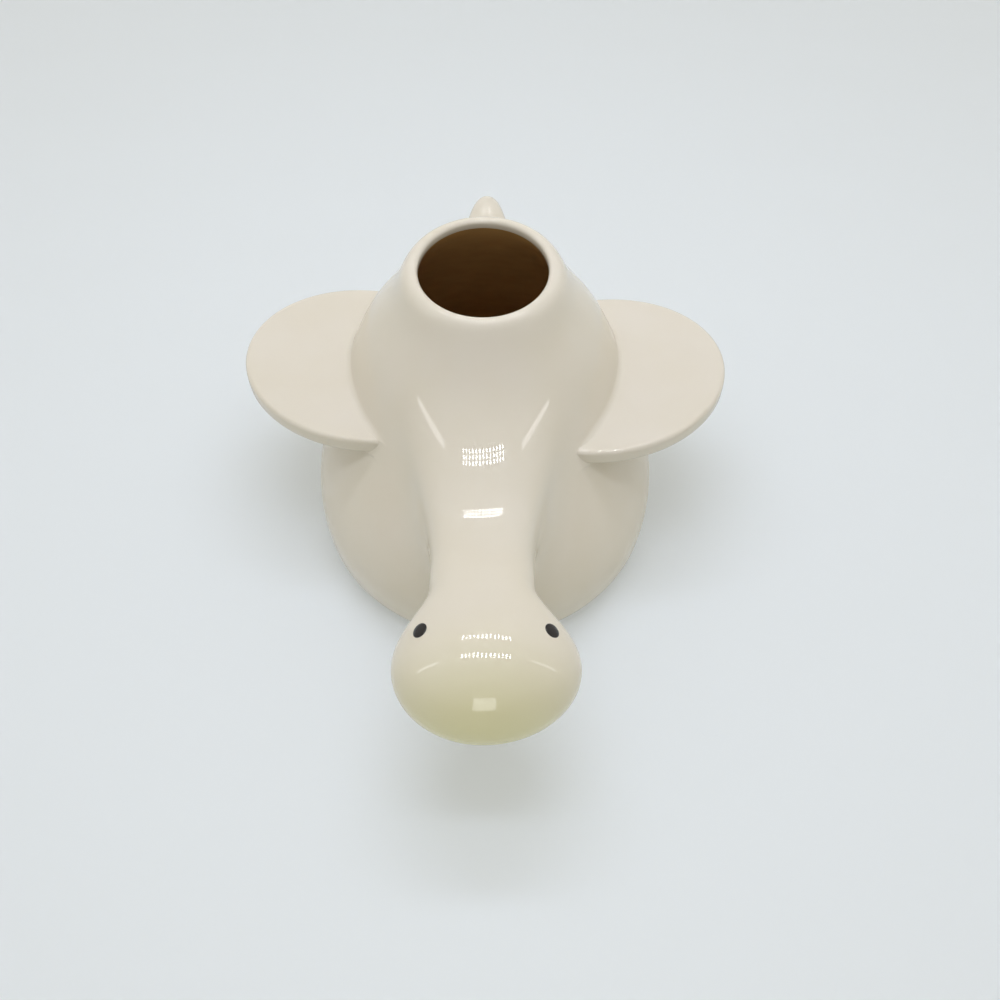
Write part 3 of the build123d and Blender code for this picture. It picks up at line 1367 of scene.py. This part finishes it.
@dataclass(frozen=True)
class BrownLining:
    """Thin brown glaze brushed inside the pot: dark and uneven, with a dull shine."""

    streaks: Mottle = Mottle("#AC834E", "#C09A62", patch_mm=9.0, detail=4.0)
    squeeze: Numbers = (1.0, 1.0, 3.0)
    roughness: float = 0.3
    shine: float = 0.08

    def make(self) -> Material:
        """Build the material.

        Returns:
            The material.
        """
        material, tree, shader = new_material("brown_lining", self.roughness)
        where = add_node(tree, "ShaderNodeTexCoord", {}, {}).outputs["Object"]
        brushed = add_node(tree, "ShaderNodeMapping", {"Scale": self.squeeze}, {"Vector": where})
        _, colour = self.streaks.add(tree, brushed.outputs["Vector"])
        shader.inputs["Specular IOR Level"].default_value = self.shine
        tree.links.new(colour, shader.inputs["Base Color"])
        return material


@dataclass(frozen=True)
class BareClay:
    """Biscuit-fired clay where the glaze is wiped off: matt, pale and finely gritty.

    The grit is drawn coarser than real grains, so that it shows.
    """

    grit: Mottle = Mottle("#CDC3B0", "#E4DDCF", patch_mm=0.9, detail=4.0)
    grit_depth_mm: float = 0.1
    grit_strength: float = 0.5
    roughness: float = 0.85

    def make(self) -> Material:
        """Build the material.

        Returns:
            The material.
        """
        material, tree, shader = new_material("bare_clay", self.roughness)
        where = add_node(tree, "ShaderNodeTexCoord", {}, {}).outputs["Object"]
        grains, colour = self.grit.add(tree, where)
        bump = add_node(
            tree,
            "ShaderNodeBump",
            {"Strength": self.grit_strength, "Distance": self.grit_depth_mm * MM},
            {"Height": grains},
        )
        tree.links.new(colour, shader.inputs["Base Color"])
        tree.links.new(bump.outputs["Normal"], shader.inputs["Normal"])
        return material


@dataclass(frozen=True)
class PlainFinish:
    """Finish that is smooth all over and has only a mottle."""

    name: str
    mottle: Mottle
    roughness: float

    def make(self) -> Material:
        """Build the material.

        Returns:
            The material.
        """
        material, tree, shader = new_material(self.name, self.roughness)
        where = add_node(tree, "ShaderNodeTexCoord", {}, {}).outputs["Object"]
        _, colour = self.mottle.add(tree, where)
        tree.links.new(colour, shader.inputs["Base Color"])
        return material


@dataclass(frozen=True)
class BlackGlaze(PlainFinish):
    """Spot of black glaze: deep and wet, with faint brown clouds."""

    name: str = "black_glaze"
    mottle: Mottle = Mottle("#0D0B0A", "#1E1815", patch_mm=1.6, detail=2.0)
    roughness: float = 0.1


@dataclass(frozen=True)
class Silicone(PlainFinish):
    """Moulded silicone: milky, soft and matt."""

    name: str = "milky_silicone"
    mottle: Mottle = Mottle("#BBB9B2", "#C9C8C2", patch_mm=3.0, detail=3.0)
    roughness: float = 0.55


class LampRole(Enum):
    """What a lamp does: light every surface, or only show in the gloss."""

    LIGHT = "light"
    GLOSS = "gloss"


@dataclass(frozen=True)
class Studio:
    """Pale table, soft white tent and strip lamps overhead, seen from the front and above.

    Its sizes are in metres.
    """

    table: str = "#C3C8C7"
    table_roughness: float = 0.6
    table_glow: str = "#F8FCFF"
    table_glow_strength: float = 0.21
    table_size: float = 6.0
    tent: str = "#FFFCF7"
    tent_strength: float = 0.78
    tent_front: float = 0.6
    tent_front_end: float = -1.0
    tent_back_start: float = 0.2
    strip_height: float = 0.56
    strip_size: Numbers = (0.40, 0.06)
    strip_colour: str = "#E0E8FF"
    strip_places: Numbers = (-0.065, 0.187)
    strip_powers: Numbers = (0.58, 0.86)
    strip_turn: float = -2.3
    strip_dots: Numbers = (13.0, 3.0)
    dot_scale: Numbers = (5.0, 2.2)
    dot_edge: Numbers = (0.6, 1.0)
    dot_power: float = 3.4
    window_place: Numbers = (0.001, -0.566, 0.238)
    window_size: Numbers = (0.18, 0.2)
    window_power: float = 0.4
    seam_place: Numbers = (0.78, -0.12, 0.56)
    seam_size: Numbers = (0.05, 0.5)
    seam_power: float = 0.28
    camera_place: Numbers = (0.0056, -0.2675, 0.3652)
    camera_pitch: float = 51.3
    lens: float = 43.2
    sensor: float = 36.0

    def build(self) -> None:
        """Add the table, the light and the camera."""
        self.add_table()
        self.add_tent()
        self.add_lamps()
        self.add_camera()

    def add_table(self) -> None:
        """Lay a plain sheet of pale, lit acrylic under the foot."""
        bm = bmesh.new()
        bmesh.ops.create_grid(bm, x_segments=1, y_segments=1, size=self.table_size / 2)
        mesh = bpy.data.meshes.new("table")
        bm.to_mesh(mesh)
        bm.free()
        table = bpy.data.objects.new("table", mesh)
        bpy.context.scene.collection.objects.link(table)
        material, _, shader = new_material("pale_table", self.table_roughness)
        shader.inputs["Base Color"].default_value = linear(self.table)
        shader.inputs["Emission Color"].default_value = linear(self.table_glow)
        shader.inputs["Emission Strength"].default_value = self.table_glow_strength
        mesh.materials.append(material)

    def add_tent(self) -> None:
        """Hang the soft tent, which is dimmer in front."""
        world = bpy.data.worlds.new("tent")
        world.use_nodes = True
        tree = world.node_tree
        background = tree.nodes["Background"]
        background.inputs["Color"].default_value = linear(self.tent)
        way = add_node(tree, "ShaderNodeTexCoord", {}, {}).outputs["Generated"]
        parts = add_node(tree, "ShaderNodeSeparateXYZ", {}, {0: way})
        level = add_node(
            tree,
            "ShaderNodeMapRange",
            {
                "From Min": self.tent_front_end,
                "From Max": self.tent_back_start,
                "To Min": self.tent_strength * self.tent_front,
                "To Max": self.tent_strength,
            },
            {"Value": parts.outputs["Y"]},
        )
        tree.links.new(level.outputs["Result"], background.inputs["Strength"])
        bpy.context.scene.world = world

    def add_lamps(self) -> None:
        """Hang the narrow strips, the window in the tent's front and the seams at its sides."""
        for number, (y, power) in enumerate(zip(self.strip_places, self.strip_powers)):
            middle = (0.0, y, self.strip_height)
            strip = self.add_panel(
                f"strip_{number}", middle, self.strip_size, power, LampRole.LIGHT
            )
            strip.data.color = linear(self.strip_colour)[:3]
            dots = self.add_panel(
                f"dots_{number}", middle, self.strip_size, self.dot_power, LampRole.GLOSS
            )
            dots.rotation_euler = (0.0, 0.0, math.radians(self.strip_turn))
            self.break_up(dots.data)
        self.add_panel(
            "window", self.window_place, self.window_size, self.window_power, LampRole.GLOSS
        )
        x, y, z = self.seam_place
        for side in Side:
            name = f"{side.name.lower()}_seam"
            middle = (side.value * x, y, z)
            self.add_panel(name, middle, self.seam_size, self.seam_power, LampRole.GLOSS)

    def add_panel(
        self,
        name: str,
        middle: Numbers,
        size: Numbers,
        power: float,
        role: LampRole,
    ) -> Piece:
        """Hang one even panel of light that faces the pot.

        Args:
            name: Name of the panel.
            middle: Where its middle hangs.
            size: Its width and height.
            power: Its power in watts.
            role: What it does.

        Returns:
            The panel.
        """
        lamp = bpy.data.lights.new(name, "AREA")
        lamp.shape = "RECTANGLE"
        lamp.size, lamp.size_y = size
        lamp.energy = power
        panel = bpy.data.objects.new(name, lamp)
        panel.location = middle
        panel.rotation_euler = Vector(middle).to_track_quat("Z", "Y").to_euler()
        panel.visible_diffuse = role is LampRole.LIGHT
        panel.visible_glossy = role is LampRole.GLOSS
        bpy.context.scene.collection.objects.link(panel)
        return panel

    def break_up(self, lamp: bpy.types.Light) -> None:
        """Break a strip up into rows of small lamps.

        Args:
            lamp: The strip.
        """
        lamp.use_nodes = True
        tree = lamp.node_tree
        where = add_node(tree, "ShaderNodeNewGeometry", {}, {}).outputs["Parametric"]
        cell_middle = (0.5, 0.5, 0.0)
        for settings in (
            {"operation": "MULTIPLY", 1: (*self.strip_dots, 0.0)},
            {"operation": "FRACTION"},
            {"operation": "SUBTRACT", 1: cell_middle},
            {"operation": "MULTIPLY", 1: (*self.dot_scale, 0.0)},
        ):
            where = add_node(tree, "ShaderNodeVectorMath", settings, {0: where}).outputs["Vector"]
        away = add_node(tree, "ShaderNodeVectorMath", {"operation": "LENGTH"}, {0: where})
        edge_start, edge_end = self.dot_edge
        dot = add_node(
            tree,
            "ShaderNodeMapRange",
            {
                "interpolation_type": "SMOOTHSTEP",
                "From Min": edge_start,
                "From Max": edge_end,
                "To Min": 1.0,
                "To Max": 0.0,
            },
            {"Value": away.outputs["Value"]},
        )
        tree.links.new(dot.outputs["Result"], tree.nodes["Emission"].inputs["Strength"])

    def add_camera(self) -> None:
        """Set the camera in front of the head, looking down at the pot."""
        lens = bpy.data.cameras.new("camera")
        lens.lens = self.lens
        lens.sensor_width = self.sensor
        camera = bpy.data.objects.new("camera", lens)
        camera.location = self.camera_place
        camera.rotation_euler = (math.radians(90 - self.camera_pitch), 0.0, 0.0)
        bpy.context.scene.collection.objects.link(camera)
        bpy.context.scene.camera = camera


@dataclass
class Planter:
    """The whole pot: casting, wings, tail, eye spots, stopper and pads."""

    left_wing: WingForm = field(
        default_factory=lambda: WingForm(Side.LEFT, middle_y=36.9, tongue=0.04)
    )
    right_wing: WingForm = field(
        default_factory=lambda: WingForm(Side.RIGHT, middle_y=42.1, tongue=0.03)
    )
    tail: TailForm = field(default_factory=TailForm)
    stopper: DrainStopper = field(default_factory=DrainStopper)
    pad_x: float = 36.79
    pad_y: float = 36.53
    pad_middle: float = 26.4

    def build(self) -> None:
        """Build every piece and dress it."""
        ivory = IvoryGlaze().make()
        black = BlackGlaze().make()
        silicone = Silicone().make()
        form = BodyForm((self.left_wing, self.right_wing))
        casting = Casting(form, NeckForm())
        body = casting.build_body()
        head = casting.build_head()
        glazes = (ivory, BrownLining().make(), BareClay().make())
        place(body, "body_shell", "pot", "ivory_glaze", glazes)
        place(head, "head_shell", "pot", "ivory_glaze", glazes)
        trim_block = form.trim_block()
        for wing in (self.left_wing, self.right_wing):
            self.join_on(wing.rows(), f"{wing.side.name.lower()}_wing", trim_block, ivory)
        self.join_on(self.tail.rows(), "tail", trim_block, ivory)
        bpy.data.objects.remove(trim_block)
        for side in Side:
            spot = EyeSpot(side).build(head, casting.neck)
            place(spot, f"{side.name.lower()}_eye", "pot", "black_glaze", (black,))
        place(self.stopper.build(), "drain_plug", "plug", "silicone", (silicone,))
        for end_name, end in (("front", -1), ("back", 1)):
            for side in Side:
                name = f"{end_name}_{side.name.lower()}_pad"
                pad = FootPad(name, side.value * self.pad_x, self.pad_middle + end * self.pad_y)
                place(pad.build(), name, "pot", "silicone", (silicone,))

    def join_on(
        self,
        rows: Sequence[Points],
        node: str,
        trim_block: Piece,
        finish: Material,
    ) -> None:
        """Build a piece that is joined to the body, and trim it inside the body's wall.

        Args:
            rows: Its rings.
            node: CAD node that it stands for.
            trim_block: Block to trim it by.
            finish: Its material.
        """
        piece = loft_object(rows, f"glazed_{node}")
        cut_away(piece, trim_block)
        place(piece, node, "pot", "ivory_glaze", (finish,))


def main() -> None:
    """Build the planter and its studio, logging each piece's faces as it is placed."""
    logging.basicConfig(level=logging.INFO, format="%(message)s")
    Planter().build()
    Studio().build()
    scene = bpy.context.scene
    scene.view_settings.view_transform = "Standard"
    bpy.context.view_layer.update()


if __name__ == "__main__":
    main()
